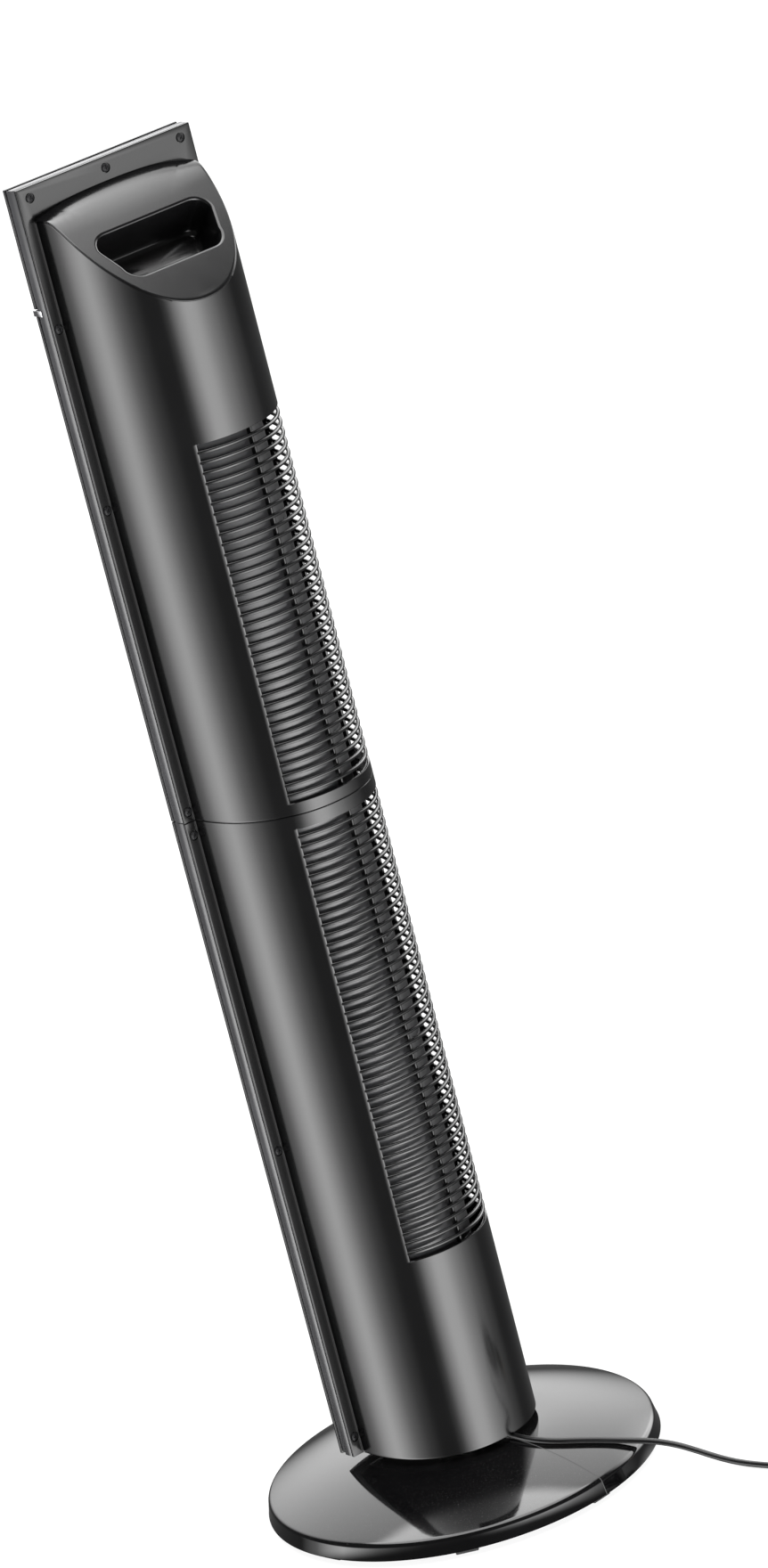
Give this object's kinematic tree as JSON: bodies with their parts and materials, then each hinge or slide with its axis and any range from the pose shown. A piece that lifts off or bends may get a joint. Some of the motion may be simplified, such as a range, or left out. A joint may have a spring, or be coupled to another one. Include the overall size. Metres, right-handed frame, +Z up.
{
  "type": "tower fan",
  "caption": "Slim upright swinging fan on a round base, with a half-round slatted rear shell, a sloping carry handle and a mains cord.",
  "frame": {"origin": "on the floor under the middle of the round base, which is the axis that the tower swings about", "axes": "+Z up; the air outlet faces -Y and the half-round rear shell faces +Y; +X is to the right when looking at the front"},
  "size_m": [0.3857, 0.4656, 1.08],
  "materials": {
    "base_gloss": "high-gloss black plastic",
    "rubber_black": "matt black rubber",
    "shell_black": "satin-gloss black plastic",
    "handle_grey": "fine-textured dark grey plastic",
    "frame_grey": "satin grey plastic",
    "fascia_black": "high-gloss black plastic",
    "trim_chrome": "bright plated strip",
    "screw_black": "black zinc-plated screw",
    "plate_steel": "plain steel sheet",
    "nylon_white": "natural nylon",
    "motor_steel": "grey painted steel can",
    "board_green": "green circuit board",
    "window_smoked": "smoked clear plastic",
    "cord_black": "black PVC",
    "button_satin": "satin black plastic",
    "impeller_black": "black glass-filled plastic",
    "inner_grey": "dark grey moulded plastic"
  },
  "bodies": {
    "base": {"base_cover_left": "base_gloss", "base_cover_right": "base_gloss", "base_foot_1": "rubber_black", "base_foot_2": "rubber_black", "base_foot_3": "rubber_black", "base_foot_4": "rubber_black", "base_foot_5": "rubber_black", "base_foot_6": "rubber_black", "base_foot_7": "rubber_black", "base_foot_8": "rubber_black", "base_hub": "inner_grey", "base_weight_plate": "plate_steel", "cord_coil": "cord_black", "cord_relief": "rubber_black", "cord_run": "cord_black", "fixed_gear": "nylon_white", "mains_plug": "cord_black", "turntable_washer": "nylon_white"},
    "tower": {"bottom_pan": "inner_grey", "control_board": "board_green", "control_panel": "fascia_black", "display_window": "window_smoked", "duct_scroll": "inner_grey", "duct_tongue": "inner_grey", "duct_top_plate": "inner_grey", "fan_motor": "motor_steel", "front_frame_lower": "frame_grey", "front_frame_upper": "frame_grey", "handle_insert": "handle_grey", "housing_screw_1": "screw_black", "housing_screw_10": "screw_black", "housing_screw_11": "screw_black", "housing_screw_12": "screw_black", "housing_screw_13": "screw_black", "housing_screw_14": "screw_black", "housing_screw_15": "screw_black", "housing_screw_2": "screw_black", "housing_screw_3": "screw_black", "housing_screw_4": "screw_black", "housing_screw_5": "screw_black", "housing_screw_6": "screw_black", "housing_screw_7": "screw_black", "housing_screw_8": "screw_black", "housing_screw_9": "screw_black", "motor_plate": "inner_grey", "outlet_grille_lower": "fascia_black", "outlet_grille_upper": "fascia_black", "rear_shell_lower": "shell_black", "rear_shell_upper": "shell_black", "swing_motor": "motor_steel", "swing_motor_bracket": "plate_steel", "top_bearing": "rubber_black", "trim_strip": "trim_chrome"},
    "impeller": {"impeller": "impeller_black", "motor_shaft": "plate_steel"},
    "swing_pinion": {"swing_pinion": "nylon_white"},
    "button_power": {"button_power": "button_satin"},
    "button_speed": {"button_speed": "button_satin"},
    "button_swing": {"button_swing": "button_satin"},
    "button_timer": {"button_timer": "button_satin"}
  },
  "joints": [
    {"name": "swing", "type": "hinge", "parent": "base", "child": "tower", "pos_m": [0, 0, 0.055], "axis": [0, 0, 1], "range_deg": [-27, 43]},
    {"name": "impeller_spin", "type": "hinge", "parent": "tower", "child": "impeller", "pos_m": [-0.006, 0.0165, 0.5], "axis": [0, 0, 1], "continuous": true},
    {"name": "pinion_spin", "type": "hinge", "parent": "tower", "child": "swing_pinion", "pos_m": [0, 0.03, 0.0635], "axis": [0, 0, 1], "range_deg": [-110, 174]},
    {"name": "press_power", "type": "slide", "parent": "tower", "child": "button_power", "axis": [0, 1, 0], "range_m": [0, 0.001], "stiffness_N_per_m": 400},
    {"name": "press_speed", "type": "slide", "parent": "tower", "child": "button_speed", "axis": [0, 1, 0], "range_m": [0, 0.001], "stiffness_N_per_m": 400},
    {"name": "press_swing", "type": "slide", "parent": "tower", "child": "button_swing", "axis": [0, 1, 0], "range_m": [0, 0.001], "stiffness_N_per_m": 400},
    {"name": "press_timer", "type": "slide", "parent": "tower", "child": "button_timer", "axis": [0, 1, 0], "range_m": [0, 0.001], "stiffness_N_per_m": 400}
  ],
  "couplings": [
    {"joint": "pinion_spin", "follows": "swing", "ratio": 4}
  ]
}
